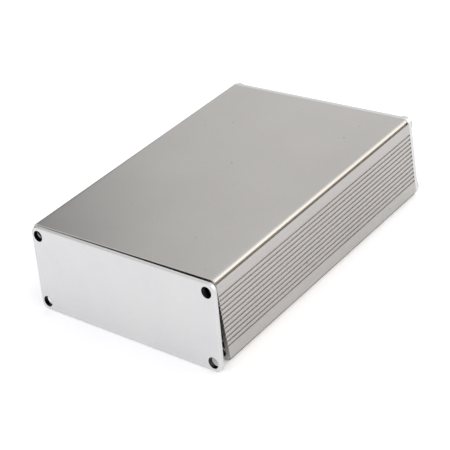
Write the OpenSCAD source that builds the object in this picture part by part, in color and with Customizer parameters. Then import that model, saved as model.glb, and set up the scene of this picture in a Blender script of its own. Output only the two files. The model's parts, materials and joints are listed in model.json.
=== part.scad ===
// Extruded aluminium enclosure: a one-piece tube with ribbed sides, a screwed rear plate and a
// loose front plate that leans against the open front end. Millimetres, +X to the right seen from
// the front, +Y towards the rear, +Z up. The origin is the middle of the tube's underside.

/* [Tube] */
// Width of the tube over its sides
body_w = 74; // [60:0.5:100]
// Height of the tube
body_h = 28.6; // [27:0.1:40]
// Length of the tube, cut end to cut end
body_l = 100; // [60:1:200]
// Thickness of the two ribbed side walls
side_wall = 1.6; // [1.3:0.1:2.2]
// Thickness of the top and bottom walls
top_wall = 1.4; // [1:0.1:2]
// Outer radius of the long corners, which the end plates share
corner_r = 2.4; // [1.2:0.1:2.8]
// Chamfer that breaks the sawn ends
end_break = 0.2; // [0.1:0.05:0.3]

/* [Side grooves] */
// Number of fine grooves along each side
groove_count = 12; // [4:1:12]
// Distance from one groove to the next
groove_pitch = 1.555; // [1.2:0.005:1.7]
// Width of a groove
groove_w = 0.6; // [0.3:0.05:0.8]
// Depth of a groove
groove_d = 0.45; // [0.2:0.05:0.7]
// How far the band of grooves sits above mid-height
groove_rise = 0.4; // [0:0.05:0.8]

/* [Corner lines] */
// Drop of each long corner line from the nearer flat face
line_drop = 1.15; // [0.8:0.05:1.6]
// Width of a corner line
line_w = 0.7; // [0.3:0.05:0.8]
// Reach of a corner line inwards from the side
line_reach = 1.1; // [0.8:0.05:1.2]

/* [Screw channels] */
// Distance of each channel's axis from the two outer faces beside it
channel_inset = 2.85; // [2.7:0.05:4]
// Bore of a channel, for a self-cutting M3 screw
channel_d = 2.5; // [2:0.1:2.8]
// Wall round a channel
channel_wall = 0.9; // [0.7:0.05:1.4]
// Width of the slit that opens each channel towards the inside
channel_slit = 1.1; // [0.6:0.1:1.3]

/* [Board slots] */
// Number of board slots on each side
slot_count = 3; // [1:1:3]
// Distance from one board slot to the next
slot_pitch = 5.5; // [4.5:0.1:6]
// Clear height of a board slot, for a 1.6 board
slot_gap = 1.8; // [1.2:0.1:2.2]
// Thickness of each rib beside a slot
slot_rib = 0.9; // [0.6:0.1:1]
// How far the ribs stand out of the side wall
slot_reach = 1.8; // [1.2:0.1:3]

/* [End plates] */
// Thickness of the end plates
plate_t = 1.5; // [1:0.1:3]
// Screw hole in an end plate, clear of an M3 screw
plate_hole_d = 3.6; // [3.2:0.1:3.8]
// Radius that breaks the rims of an end plate
plate_break = 0.3; // [0.1:0.05:0.4]

/* [Leaning front plate] */
// Lean of the front plate, with its top towards the tube
lean = 6.85; // [3:0.05:12]
// Turn of the front plate, with its right side away from the tube
turn = 0.63; // [0.1:0.01:2]
// Sideways offset of the front plate to the right
side_shift = 0.87; // [0:0.01:2]
// Clearance between the front plate's upper rim and the end of the tube
seat_gap = 0.03; // [0.01:0.01:0.2]

/* [Rear screws] */
// Diameter of a pan head
head_d = 5.2; // [4.6:0.1:5.3]
// Height of a pan head
head_h = 2.1; // [1.6:0.1:2.6]
// Height of the straight side of a pan head, under its dome
head_side = 0.75; // [0.4:0.05:1]
// Length of a screw under its head
screw_l = 8; // [5:0.5:12]
// Radial clearance of a screw's core in its channel
core_gap = 0.1; // [0.05:0.01:0.2]
// Length of each arm of the cross recess, tip to tip
recess_l = 2.9; // [2:0.1:3.4]
// Width of each arm of the cross recess
recess_w = 0.7; // [0.4:0.05:0.9]
// Depth of the cross recess
recess_d = 1.1; // [0.6:0.1:1.3]
// Turn of the left and right pairs of screws away from a cross at 45 degrees
cross_turn = 20; // [0:1:40]

/* [Hidden] */
overcut = 1;
corner_fn = 64;
chamfer_fn = 4;
hole_fn = 48;
dome_fn = 96;
core_fn = 32;
channel_r = channel_d / 2;
boss_r = channel_r + channel_wall;
cavity_w = body_w - 2 * side_wall;
cavity_h = body_h - 2 * top_wall;
pitch_w = body_w - 2 * channel_inset;
pitch_h = body_h - 2 * channel_inset;
dome_h = head_h - head_side;
dome_r = (dome_h * dome_h + head_d * head_d / 4) / (2 * dome_h);
front_y = -body_l / 2;
rear_y = body_l / 2;
silver = [0.74, 0.735, 0.72];
pale = [0.86, 0.86, 0.87];
zinc = [0.66, 0.66, 0.64];

// Rectangle with round corners, standing on the X axis and centred on it. A circle of four sides
// turns the corners into chamfers
module round_rect(w, h, r, fn = corner_fn) {
    translate([-w / 2, r]) square([w, h - 2 * r]);
    translate([-w / 2 + r, 0]) square([w - 2 * r, h]);
    for (x = [-1, 1], y = [r, h - r])
        translate([x * (w / 2 - r), y]) circle(r = r, $fn = fn);
}

// Rounded plate in the XZ plane, centred on the origin and t thick, with its rims broken by rim
module soft_plate(w, h, t, r, rim, rim_fn = corner_fn) {
    translate([-(w / 2 - r), 0, 0])
        rotate([90, 0, 90])
            linear_extrude(w - 2 * r) translate([0, -h / 2]) round_rect(t, h, rim, rim_fn);
    translate([0, 0, -(h / 2 - r)])
        linear_extrude(h - 2 * r) translate([0, -t / 2]) round_rect(w, t, rim, rim_fn);
    for (x = [-1, 1], z = [-1, 1])
        translate([x * (w / 2 - r), 0, z * (h / 2 - r)]) soft_disc(t, r, rim, rim_fn);
}

// Disc round the Y axis, centred on the origin, with its rims broken by rim
module soft_disc(t, r, rim, rim_fn) {
    rotate([90, 0, 0]) rotate_extrude($fn = corner_fn) intersection() {
        translate([0, -t / 2]) round_rect(2 * r, t, rim, rim_fn);
        translate([0, -t]) square([r + overcut, 2 * t]);
    }
}

// Repeats its children at the four screw axes of the section, turned so that +X points to the middle
module at_channels() {
    for (x = [-1, 1], z = [-1, 1])
        translate([x * pitch_w / 2, body_h / 2 + z * pitch_h / 2])
            rotate(x > 0 ? 180 + z * 45 : -z * 45) children();
}

// Board ribs of the right-hand wall
module slot_ribs() {
    for (i = [0 : slot_count - 1], side = [-1, 1])
        translate([
            cavity_w / 2 - slot_reach,
            body_h / 2 + (i - (slot_count - 1) / 2) * slot_pitch
                + side * (slot_gap + slot_rib) / 2 - slot_rib / 2
        ]) square([slot_reach + side_wall / 2, slot_rib]);
}

// Grooves and corner lines cut into the right-hand side
module side_cuts() {
    for (i = [0 : groove_count - 1])
        translate([
            body_w / 2 - groove_d,
            body_h / 2 + groove_rise + (i - (groove_count - 1) / 2) * groove_pitch - groove_w / 2
        ]) square([groove_d + overcut, groove_w]);
    for (z = [line_drop, body_h - line_drop])
        translate([body_w / 2 - line_reach, z - line_w / 2]) square([line_reach + overcut, line_w]);
}

// Section of the extrusion, standing on the X axis
module body_section() {
    difference() {
        union() {
            difference() {
                round_rect(body_w, body_h, corner_r);
                translate([-cavity_w / 2, top_wall]) square([cavity_w, cavity_h]);
            }
            at_channels() circle(r = boss_r, $fn = hole_fn);
            slot_ribs();
            mirror([1, 0]) slot_ribs();
        }
        at_channels() {
            circle(r = channel_r, $fn = hole_fn);
            translate([0, -channel_slit / 2]) square([boss_r + overcut, channel_slit]);
        }
        side_cuts();
        mirror([1, 0]) side_cuts();
    }
}

// Tube cut from the extrusion, with its sawn ends broken
module body() {
    color(silver) intersection() {
        translate([0, rear_y, 0]) rotate([90, 0, 0]) linear_extrude(body_l) body_section();
        translate([0, 0, body_h / 2])
            soft_plate(body_w, body_h, body_l, corner_r, end_break, chamfer_fn);
    }
}

// End plate about its own middle, with its four screw holes
module end_plate() {
    difference() {
        soft_plate(body_w, body_h, plate_t, corner_r, plate_break);
        for (x = [-1, 1], z = [-1, 1])
            translate([x * pitch_w / 2, 0, z * pitch_h / 2])
                rotate([90, 0, 0])
                    cylinder(d = plate_hole_d, h = plate_t + 2 * overcut, center = true, $fn = hole_fn);
    }
}

// Furthest reach of an end plate from its middle along a unit direction given in its own axes
function plate_reach(x, y, z) =
    (body_w / 2 - corner_r) * abs(x) + (body_h / 2 - corner_r) * abs(z)
    + (corner_r - plate_break) * norm([x, z]) + (plate_t / 2 - plate_break) * abs(y) + plate_break;

// Front plate, stood on its lower rim and leant against the end of the tube
module front_plate() {
    floor_z = plate_reach(0, sin(lean), cos(lean));
    seat_y = plate_reach(sin(turn), cos(turn) * cos(lean), cos(turn) * sin(lean));
    color(pale)
        translate([side_shift, front_y - seat_gap - seat_y, floor_z])
            rotate([-lean, 0, -turn]) end_plate();
}

// Rear plate, flat against the end of the tube
module rear_plate() {
    color(pale) translate([0, rear_y + plate_t / 2, body_h / 2]) end_plate();
}

// Pan-head screw that points down, with the underside of its head at the origin
module pan_screw() {
    difference() {
        union() {
            intersection() {
                cylinder(d = head_d, h = head_h, $fn = hole_fn);
                translate([0, 0, head_h - dome_r]) sphere(r = dome_r, $fn = dome_fn);
            }
            translate([0, 0, -screw_l])
                cylinder(r = channel_r - core_gap, h = screw_l + head_side, $fn = core_fn);
        }
        for (a = [0, 90])
            rotate([0, 0, a])
                translate([-recess_l / 2, -recess_w / 2, head_h - recess_d])
                    cube([recess_l, recess_w, recess_d + overcut]);
    }
}

// Four screws that hold the rear plate
module rear_screws() {
    color(zinc)
        for (x = [-1, 1], z = [-1, 1])
            translate([x * pitch_w / 2, rear_y + plate_t, body_h / 2 + z * pitch_h / 2])
                rotate([-90, 0, 0]) rotate([0, 0, 45 + x * cross_turn]) pan_screw();
}

body();
front_plate();
rear_plate();
rear_screws();
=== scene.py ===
"""Dresses the extruded aluminium enclosure: finishes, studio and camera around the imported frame."""

import json
import logging
import math
from dataclasses import dataclass, field
from enum import Enum
from typing import Any

import bmesh
import bpy
from mathutils import Matrix, Vector

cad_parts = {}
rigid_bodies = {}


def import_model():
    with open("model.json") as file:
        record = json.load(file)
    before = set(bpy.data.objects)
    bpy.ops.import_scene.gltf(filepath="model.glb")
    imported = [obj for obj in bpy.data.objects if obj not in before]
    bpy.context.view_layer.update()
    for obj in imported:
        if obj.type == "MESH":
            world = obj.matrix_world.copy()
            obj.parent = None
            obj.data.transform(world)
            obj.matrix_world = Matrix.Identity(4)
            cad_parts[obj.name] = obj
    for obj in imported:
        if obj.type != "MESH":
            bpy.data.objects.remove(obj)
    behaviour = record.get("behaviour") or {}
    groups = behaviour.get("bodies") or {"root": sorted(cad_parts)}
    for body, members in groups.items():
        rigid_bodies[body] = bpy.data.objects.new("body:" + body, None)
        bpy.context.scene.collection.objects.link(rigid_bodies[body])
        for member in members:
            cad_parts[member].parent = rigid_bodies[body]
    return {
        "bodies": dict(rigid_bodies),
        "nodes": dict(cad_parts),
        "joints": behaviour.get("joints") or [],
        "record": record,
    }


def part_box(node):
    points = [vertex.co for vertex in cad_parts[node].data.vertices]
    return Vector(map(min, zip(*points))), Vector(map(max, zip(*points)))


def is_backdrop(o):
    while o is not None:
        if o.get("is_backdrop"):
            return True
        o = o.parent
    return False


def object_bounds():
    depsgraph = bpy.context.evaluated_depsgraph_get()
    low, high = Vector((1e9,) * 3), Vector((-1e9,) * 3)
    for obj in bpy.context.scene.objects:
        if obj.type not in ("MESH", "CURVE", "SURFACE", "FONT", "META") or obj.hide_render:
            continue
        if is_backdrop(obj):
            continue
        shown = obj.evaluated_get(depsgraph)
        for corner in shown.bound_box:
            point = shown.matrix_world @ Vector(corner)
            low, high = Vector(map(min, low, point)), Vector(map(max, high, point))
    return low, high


LOG = logging.getLogger("enclosure")
MM = 0.001
# A Mix node keeps its colour sockets after those for numbers and vectors
MIX_A, MIX_B, MIX_RESULT = 6, 7, 2
# Noise seldom leaves this range, so it is stretched from here
NOISE_LOW, NOISE_HIGH = 0.3, 0.7
CLOUD_LOW, CLOUD_HIGH = 0.35, 0.65
SENSOR_MM = 36.0
CASE_MIDDLE = (0.0, 0.0, 0.015)


def linear(hex_colour: str) -> tuple[float, float, float, float]:
    """Turns an sRGB colour into the linear one that shaders use.

    Args:
        hex_colour: Six hex digits, such as "C8C6C2".

    Returns:
        Linear red, green, blue and an alpha of 1.
    """
    values = [int(hex_colour[i : i + 2], 16) / 255 for i in (0, 2, 4)]
    lin = [v / 12.92 if v <= 0.04045 else ((v + 0.055) / 1.055) ** 2.4 for v in values]
    return (lin[0], lin[1], lin[2], 1.0)


def add_node(
    tree: bpy.types.NodeTree,
    kind: str,
    inputs: dict[str | int, Any] | None = None,
    links: dict[str | int, bpy.types.NodeSocket] | None = None,
    **settings: Any,
) -> bpy.types.Node:
    """Adds one node to a tree, with its settings, socket values and links.

    Args:
        tree: The node tree that gets the node.
        kind: Blender's name for the type of node.
        inputs: Values for input sockets, by socket name or number.
        links: Output sockets to link to input sockets, by socket name or number.
        **settings: Properties of the node itself.

    Returns:
        The new node.
    """
    node = tree.nodes.new(kind)
    for name, value in settings.items():
        setattr(node, name, value)
    for key, value in (inputs or {}).items():
        node.inputs[key].default_value = value
    for key, socket in (links or {}).items():
        tree.links.new(socket, node.inputs[key])
    return node


def ramp(
    tree: bpy.types.NodeTree,
    factor: bpy.types.NodeSocket,
    low: tuple[float, str],
    high: tuple[float, str],
) -> bpy.types.Node:
    """Adds a colour ramp between two colours.

    Args:
        tree: The node tree that gets the ramp.
        factor: The value that the ramp reads.
        low: Place and sRGB colour of the lower stop.
        high: Place and sRGB colour of the upper stop.

    Returns:
        The ramp node.
    """
    node = add_node(tree, "ShaderNodeValToRGB", links={0: factor})
    for element, (place, colour) in zip(node.color_ramp.elements, (low, high)):
        element.position, element.color = place, linear(colour)
    return node


class Extent(Enum):
    """How far a drift of colour reaches across the part."""

    BROAD = 42.0
    PATCHY = 14.0


@dataclass(frozen=True)
class PunchedHoles:
    """Corner holes punched through an anodised plate, with painted shade on their walls.

    Attributes:
        across_mm: Distance between the holes across the plate.
        up_mm: Distance between the holes up the plate.
        radius_mm: Radius of a hole.
        lean: Lean of the plate, in degrees.
        turn: Turn of the plate, in degrees.
        colour: sRGB colour of the painted shade on the hole walls.
        edge_mm: How far outside a hole its painted shade starts and stops fading.
    """

    across_mm: float = 68.3
    up_mm: float = 22.9
    radius_mm: float = 1.8
    lean: float = 0.0
    turn: float = 0.0
    colour: str = "39393B"
    edge_mm: tuple[float, float] = (0.02, 0.08)

    def paint_wall_shade(
        self,
        tree: bpy.types.NodeTree,
        place: bpy.types.NodeSocket,
        colour: bpy.types.NodeSocket,
        middle: Vector,
    ) -> bpy.types.NodeSocket:
        """Paints shade on the walls of the four holes.

        Args:
            tree: The material's node tree.
            place: Object coordinates.
            colour: The colour so far.
            middle: Middle of the plate, in metres.

        Returns:
            The colour with painted shade on the hole walls.
        """
        turns = (-math.radians(self.lean), 0.0, -math.radians(self.turn))
        flat = add_node(
            tree,
            "ShaderNodeMapping",
            {"Location": middle, "Rotation": turns},
            {"Vector": place},
            vector_type="TEXTURE",
        )
        # Folding the plate over its two middle lines lays all four holes on one
        folded = add_node(
            tree, "ShaderNodeVectorMath", links={0: flat.outputs[0]}, operation="ABSOLUTE"
        )
        corner = (self.across_mm * MM / 2, 0.0, self.up_mm * MM / 2)
        offset = add_node(
            tree,
            "ShaderNodeVectorMath",
            {1: corner},
            {0: folded.outputs[0]},
            operation="SUBTRACT",
        )
        level = add_node(
            tree,
            "ShaderNodeVectorMath",
            {1: (1.0, 0.0, 1.0)},
            {0: offset.outputs[0]},
            operation="MULTIPLY",
        )
        reach = add_node(
            tree, "ShaderNodeVectorMath", links={0: level.outputs[0]}, operation="LENGTH"
        )
        painted_shade_mask = add_node(
            tree,
            "ShaderNodeMapRange",
            {
                "From Min": (self.radius_mm + self.edge_mm[0]) * MM,
                "From Max": (self.radius_mm + self.edge_mm[1]) * MM,
                "To Min": 1.0,
                "To Max": 0.0,
            },
            {"Value": reach.outputs["Value"]},
        )
        # Painted shade: a dark colour on the hole walls stands in for the shade that falls within the
        # holes
        walls = add_node(
            tree,
            "ShaderNodeMix",
            {MIX_B: linear(self.colour)},
            {0: painted_shade_mask.outputs["Result"], MIX_A: colour},
            data_type="RGBA",
        )
        return walls.outputs[MIX_RESULT]


@dataclass(frozen=True)
class AnodisedAluminium:
    """Clear anodised aluminium: bare metal under a thin hard oxide, so a soft satin sheen.

    Attributes:
        name: What the finish is.
        light: Colour where the oxide is thinnest.
        dark: Colour where it is thickest.
        roughness: Middle of the roughness.
        grain_mm: Size of the etched grain.
        grain_depth_mm: Depth of the etched grain.
        drift: How far the slow change of colour reaches.
        specks: Whether a few tiny dark specks show.
        holes: The punched holes of a plate, if it has them.
        fleck: Least and greatest factor of the grain on the colour.
        swing: How far the grain moves the roughness, up and down.
        relief: Strength of the grain's relief.
        speck_apart_mm: Usual distance between specks.
        speck_edge: Where a speck starts and stops fading, as a share of that distance.
        speck_colour: sRGB colour of a speck.
    """

    name: str
    light: str
    dark: str
    roughness: float
    grain_mm: float
    grain_depth_mm: float
    drift: Extent
    specks: bool
    holes: PunchedHoles | None = None
    fleck: tuple[float, float] = (0.94, 1.04)
    swing: float = 0.04
    relief: float = 0.35
    speck_apart_mm: float = 7.0
    speck_edge: tuple[float, float] = (0.018, 0.045)
    speck_colour: str = "4A4744"

    def build(self, middle: Vector) -> bpy.types.Material:
        """Makes the material.

        Args:
            middle: Middle of the piece, in metres.

        Returns:
            The finished material.
        """
        material = bpy.data.materials.new(self.name)
        material.use_nodes = True
        tree = material.node_tree
        tree.nodes.clear()
        place = add_node(tree, "ShaderNodeTexCoord").outputs["Object"]
        # The oxide's thickness drifts slowly over the part, which shows as a faint change of tone
        drift = add_node(
            tree,
            "ShaderNodeTexNoise",
            {"Scale": 1 / (self.drift.value * MM), "Detail": 3.0, "Roughness": 0.55},
            {"Vector": place},
        )
        tone = ramp(tree, drift.outputs["Fac"], (NOISE_LOW, self.dark), (NOISE_HIGH, self.light))
        # The caustic etch before anodising leaves a fine even grain
        grain = add_node(
            tree,
            "ShaderNodeTexNoise",
            {"Scale": 1 / (self.grain_mm * MM), "Detail": 2.0, "Roughness": 0.6},
            {"Vector": place},
        )
        fleck = add_node(
            tree,
            "ShaderNodeMapRange",
            {
                "From Min": NOISE_LOW,
                "From Max": NOISE_HIGH,
                "To Min": self.fleck[0],
                "To Max": self.fleck[1],
            },
            {"Value": grain.outputs["Fac"]},
        )
        flecked = add_node(
            tree,
            "ShaderNodeMix",
            {0: 1.0},
            {MIX_A: tone.outputs["Color"], MIX_B: fleck.outputs["Result"]},
            data_type="RGBA",
            blend_type="MULTIPLY",
        )
        colour = flecked.outputs[MIX_RESULT]
        if self.specks:
            colour = self.add_specks(tree, place, colour)
        # The plate's hole walls get painted shade, a dark colour in place of real shade
        if self.holes:
            colour = self.holes.paint_wall_shade(tree, place, colour, middle)
        rough = add_node(
            tree,
            "ShaderNodeMapRange",
            {
                "From Min": NOISE_LOW,
                "From Max": NOISE_HIGH,
                "To Min": self.roughness - self.swing,
                "To Max": self.roughness + self.swing,
            },
            {"Value": grain.outputs["Fac"]},
        )
        bump = add_node(
            tree,
            "ShaderNodeBump",
            {"Strength": self.relief, "Distance": self.grain_depth_mm * MM},
            {"Height": grain.outputs["Fac"]},
        )
        shader = add_node(
            tree,
            "ShaderNodeBsdfPrincipled",
            {"Metallic": 1.0},
            {
                "Base Color": colour,
                "Roughness": rough.outputs["Result"],
                "Normal": bump.outputs["Normal"],
            },
        )
        add_node(
            tree, "ShaderNodeOutputMaterial", links={"Surface": shader.outputs["BSDF"]}
        )
        return material

    def add_specks(
        self,
        tree: bpy.types.NodeTree,
        place: bpy.types.NodeSocket,
        colour: bpy.types.NodeSocket,
    ) -> bpy.types.NodeSocket:
        """Darkens a few tiny scattered pits in the oxide.

        Args:
            tree: The material's node tree.
            place: Object coordinates.
            colour: The colour so far.

        Returns:
            The colour with the specks.
        """
        cells = add_node(
            tree,
            "ShaderNodeTexVoronoi",
            {"Scale": 1 / (self.speck_apart_mm * MM), "Randomness": 1.0},
            {"Vector": place},
        )
        spot = add_node(
            tree,
            "ShaderNodeMapRange",
            {
                "From Min": self.speck_edge[0],
                "From Max": self.speck_edge[1],
                "To Min": 1.0,
                "To Max": 0.0,
            },
            {"Value": cells.outputs["Distance"]},
        )
        mixed = add_node(
            tree,
            "ShaderNodeMix",
            {MIX_B: linear(self.speck_colour)},
            {0: spot.outputs["Result"], MIX_A: colour},
            data_type="RGBA",
        )
        return mixed.outputs[MIX_RESULT]


def sheet(name: str, holes: PunchedHoles) -> AnodisedAluminium:
    """Gives the finish that both end plates share.

    Args:
        name: What the finish is.
        holes: The plate's punched holes.

    Returns:
        The finish.
    """
    return AnodisedAluminium(
        name=name,
        light="D6D6D5",
        dark="D2D2D3",
        roughness=0.42,
        grain_mm=0.25,
        grain_depth_mm=0.006,
        drift=Extent.PATCHY,
        specks=False,
        holes=holes,
    )


@dataclass(frozen=True)
class ZincPlatedSteel:
    """Bright zinc plate on a steel screw: a clear, slightly cloudy mirror.

    Attributes:
        name: What the finish is.
        light: Colour of clean zinc.
        dark: Colour of clouded zinc.
        roughness: Roughness of the plate.
    """

    name: str = "bright_zinc_plated_steel"
    light: str = "C9CACA"
    dark: str = "A9A9A6"
    roughness: float = 0.26

    def build(self, middle: Vector) -> bpy.types.Material:
        """Makes the material.

        Args:
            middle: Middle of the piece, in metres. Not used, as the clouding has no centre.

        Returns:
            The finished material.
        """
        material = bpy.data.materials.new(self.name)
        material.use_nodes = True
        tree = material.node_tree
        tree.nodes.clear()
        place = add_node(tree, "ShaderNodeTexCoord").outputs["Object"]
        cloud = add_node(
            tree,
            "ShaderNodeTexNoise",
            {"Scale": 1 / (1.2 * MM), "Detail": 4.0},
            {"Vector": place},
        )
        tone = ramp(tree, cloud.outputs["Fac"], (CLOUD_LOW, self.dark), (CLOUD_HIGH, self.light))
        shader = add_node(
            tree,
            "ShaderNodeBsdfPrincipled",
            {"Metallic": 1.0, "Roughness": self.roughness},
            {"Base Color": tone.outputs["Color"]},
        )
        add_node(
            tree, "ShaderNodeOutputMaterial", links={"Surface": shader.outputs["BSDF"]}
        )
        return material


@dataclass
class Dressed:
    """One piece of the enclosure and the finish it takes.

    Attributes:
        node: The frame's name for the piece.
        finish: The finish of the piece.
    """

    node: str
    finish: AnodisedAluminium | ZincPlatedSteel

    def dress(self, frame: dict[str, Any]) -> None:
        """Gives the piece its finish.

        Args:
            frame: The loaded frame.
        """
        piece = frame["nodes"][self.node]
        piece.data.materials.clear()
        low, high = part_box(self.node)
        piece.data.materials.append(self.finish.build((low + high) / 2))
        LOG.info("%s takes %s", self.node, self.finish.name)


@dataclass
class Enclosure:
    """The whole case: tube, plates and screws.

    Attributes:
        pieces: Every piece with its finish.
    """

    pieces: list[Dressed] = field(
        default_factory=lambda: [
            Dressed(
                "body",
                AnodisedAluminium(
                    name="clear_anodised_extrusion",
                    light="B9B7B5",
                    dark="B3B1AF",
                    roughness=0.36,
                    grain_mm=0.35,
                    grain_depth_mm=0.005,
                    drift=Extent.BROAD,
                    specks=True,
                ),
            ),
            Dressed(
                "front_plate",
                sheet("clear_anodised_sheet_front", PunchedHoles(lean=6.85, turn=0.63)),
            ),
            Dressed("rear_plate", sheet("clear_anodised_sheet_rear", PunchedHoles())),
            Dressed("rear_screws", ZincPlatedSteel()),
        ]
    )

    def dress(self, frame: dict[str, Any]) -> None:
        """Gives every piece its finish.

        Args:
            frame: The loaded frame.
        """
        for piece in self.pieces:
            piece.dress(frame)


@dataclass
class Camera:
    """A pinhole camera, given as a place and three turns.

    Attributes:
        place_mm: Where it stands, in the frame.
        yaw: Turn to the left from looking along +Y, in degrees.
        pitch: Angle below level, in degrees.
        roll: Turn round its own line of sight, in degrees.
        focal_ratio: Focal length over the picture's width.
    """

    place_mm: tuple[float, float, float] = (261.585, -273.48, 235.876)
    yaw: float = 44.162
    pitch: float = 30.964
    roll: float = -10.744
    focal_ratio: float = 3.0428

    def build(self) -> None:
        """Makes the camera and makes it the scene's own."""
        data = bpy.data.cameras.new("camera")
        data.sensor_width = SENSOR_MM
        data.lens = self.focal_ratio * data.sensor_width
        data.clip_start, data.clip_end = 0.01, 10.0
        yaw, pitch, roll = (math.radians(v) for v in (self.yaw, self.pitch, self.roll))
        ahead = Vector(
            (-math.sin(yaw) * math.cos(pitch), math.cos(yaw) * math.cos(pitch), -math.sin(pitch))
        )
        level = ahead.cross(Vector((0, 0, 1))).normalized()
        upright = level.cross(ahead)
        right = level * math.cos(roll) + upright * math.sin(roll)
        up = upright * math.cos(roll) - level * math.sin(roll)
        matrix = Matrix((right, up, -ahead)).transposed().to_4x4()
        matrix.translation = Vector(self.place_mm) * MM
        camera = bpy.data.objects.new("camera", data)
        camera.matrix_world = matrix
        bpy.context.scene.collection.objects.link(camera)
        bpy.context.scene.camera = camera


@dataclass
class SoftLamp:
    """A large square soft box.

    Attributes:
        name: What the lamp is.
        place: Where it hangs, in metres.
        width: Side of the soft box, in metres.
        power: Power in watts.
        colour: sRGB colour of its light.
        aim: What it points at, in metres.
    """

    name: str
    place: tuple[float, float, float]
    width: float
    power: float
    colour: str
    aim: tuple[float, float, float] = CASE_MIDDLE

    def build(self) -> None:
        """Hangs the lamp."""
        data = bpy.data.lights.new(self.name, "AREA")
        data.shape = "SQUARE"
        data.size = self.width
        data.energy = self.power
        data.color = linear(self.colour)[:3]
        lamp = bpy.data.objects.new(self.name, data)
        lamp.location = self.place
        line = Vector(self.aim) - Vector(self.place)
        lamp.rotation_euler = line.to_track_quat("-Z", "Y").to_euler()
        bpy.context.scene.collection.objects.link(lamp)


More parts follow.
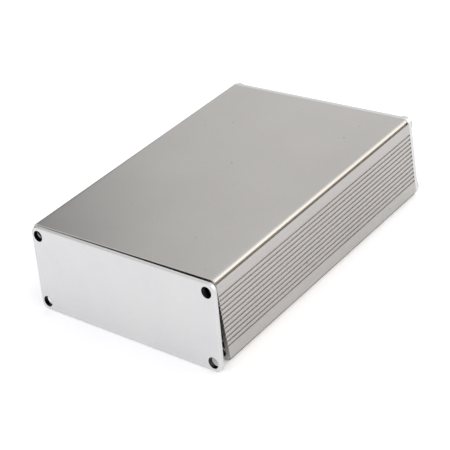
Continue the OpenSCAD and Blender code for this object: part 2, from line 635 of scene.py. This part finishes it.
@dataclass
class DarkCard:
    """A dark card beside the table, which bright metal reflects as a soft darker edge.

    Attributes:
        place: Middle of the card, in metres.
        width: Width of the card, in metres.
        height: Height of the card, in metres.
        colour: sRGB colour of the card.
    """

    place: tuple[float, float, float] = (-0.765, 0.205, 0.42)
    width: float = 0.6
    height: float = 0.75
    colour: str = "666666"

    def build(self) -> None:
        """Stands the card, which only reflections show."""
        mesh = bpy.data.meshes.new("dark_card")
        shape = bmesh.new()
        bmesh.ops.create_grid(shape, x_segments=1, y_segments=1, size=0.5)
        bmesh.ops.scale(shape, vec=(self.width, self.height, 1), verts=shape.verts)
        away = Vector((self.place[0], self.place[1], 0))
        turn = away.to_track_quat("-Z", "Y").to_matrix().to_4x4()
        turn.translation = Vector(self.place)
        bmesh.ops.transform(shape, matrix=turn, verts=shape.verts)
        shape.to_mesh(mesh)
        shape.free()
        card = bpy.data.objects.new("dark_card", mesh)
        material = bpy.data.materials.new("dark_matt_card")
        material.use_nodes = True
        tree = material.node_tree
        tree.nodes.clear()
        face = add_node(tree, "ShaderNodeBsdfDiffuse", {"Color": linear(self.colour)})
        add_node(tree, "ShaderNodeOutputMaterial", links={"Surface": face.outputs[0]})
        mesh.materials.append(material)
        bpy.context.scene.collection.objects.link(card)
        card.visible_camera = False
        card.visible_diffuse = False
        card.visible_shadow = False
        card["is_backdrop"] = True


@dataclass
class Studio:
    """White table, white surround and soft lamps.

    Attributes:
        table_half: Half the side of the table, in metres.
        shade: Whiteness of the table under the lamps, to the viewer.
        glow: Strength of the light that the table adds of its own, to the viewer.
        fill: Strength of the surround as matt surfaces see it.
        fill_colour: sRGB colour of the surround as matt surfaces see it.
        paper_colour: sRGB colour of the table as matt surfaces see it.
    """

    table_half: float = 1.5
    shade: float = 1.0
    glow: float = 0.2
    fill: float = 1.0
    fill_colour: str = "F4F4F8"
    paper_colour: str = "EEEEEE"
    lamps: list[SoftLamp] = field(
        default_factory=lambda: [
            SoftLamp("front_box", (-0.35, -0.9, 0.25), 0.7, 0.35, "FCFCFF"),
            SoftLamp("back_box", (-0.62, 0.86, 0.60), 0.55, 0.06, "FFE2B0"),
            SoftLamp("fillet_box", (0.60, 0.68, 0.66), 0.8, 3.4, "FFF6E4"),
        ]
    )

    def build(self, floor_z: float) -> None:
        """Sets the table, the surround and the lamps.

        Args:
            floor_z: Height of the table top.
        """
        self.build_table(floor_z)
        self.build_surround()
        DarkCard().build()
        for lamp in self.lamps:
            lamp.build()

    def white_to_viewer(self, tree: bpy.types.NodeTree) -> bpy.types.NodeSocket:
        """Gives 1 for rays that should meet plain white: the viewer's, glossy and clear ones.

        Args:
            tree: The node tree that gets the nodes.

        Returns:
            The value, 0 or 1.
        """
        path = add_node(tree, "ShaderNodeLightPath")
        total = path.outputs["Is Camera Ray"]
        for other in ("Is Glossy Ray", "Is Transmission Ray"):
            total = add_node(
                tree,
                "ShaderNodeMath",
                links={0: total, 1: path.outputs[other]},
                operation="ADD",
                use_clamp=True,
            ).outputs[0]
        return total

    def build_table(self, floor_z: float) -> None:
        """Lays the white table.

        Args:
            floor_z: Height of the table top.
        """
        bpy.ops.mesh.primitive_plane_add(size=2 * self.table_half, location=(0, 0, floor_z))
        table = bpy.context.object
        table.name = "table"
        material = bpy.data.materials.new("white_matt_paper")
        material.use_nodes = True
        tree = material.node_tree
        tree.nodes.clear()
        paper = add_node(tree, "ShaderNodeBsdfDiffuse", {"Color": linear(self.paper_colour)})
        # To the viewer the paper is white where light falls on it, and keeps the shadow
        shaded = add_node(
            tree, "ShaderNodeBsdfDiffuse", {"Color": (self.shade, self.shade, self.shade, 1)}
        )
        glow = add_node(tree, "ShaderNodeEmission", {"Strength": self.glow})
        white = add_node(
            tree, "ShaderNodeAddShader", links={0: shaded.outputs[0], 1: glow.outputs[0]}
        )
        mixed = add_node(
            tree,
            "ShaderNodeMixShader",
            links={0: self.white_to_viewer(tree), 1: paper.outputs[0], 2: white.outputs[0]},
        )
        add_node(tree, "ShaderNodeOutputMaterial", links={"Surface": mixed.outputs[0]})
        table.data.materials.append(material)
        table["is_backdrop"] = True

    def build_surround(self) -> None:
        """Sets the surround: plain white to the viewer, soft fill to the object."""
        world = bpy.data.worlds.new("surround")
        bpy.context.scene.world = world
        world.use_nodes = True
        tree = world.node_tree
        tree.nodes.clear()
        seen = add_node(
            tree, "ShaderNodeBackground", {"Color": linear("FFFFFF"), "Strength": 1.0}
        )
        felt = add_node(
            tree,
            "ShaderNodeBackground",
            {"Color": linear(self.fill_colour), "Strength": self.fill},
        )
        mixed = add_node(
            tree,
            "ShaderNodeMixShader",
            links={
                0: self.white_to_viewer(tree),
                1: felt.outputs[0],
                2: seen.outputs[0],
            },
        )
        add_node(tree, "ShaderNodeOutputWorld", links={"Surface": mixed.outputs[0]})


def main() -> None:
    """Builds the dressed enclosure and its studio."""
    logging.basicConfig(level=logging.INFO, format="%(name)s: %(message)s")
    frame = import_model()
    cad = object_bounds()
    Enclosure().dress(frame)
    Camera().build()
    Studio().build(cad[0].z)
    bpy.context.scene.view_settings.view_transform = "Standard"


if __name__ == "__main__":
    main()
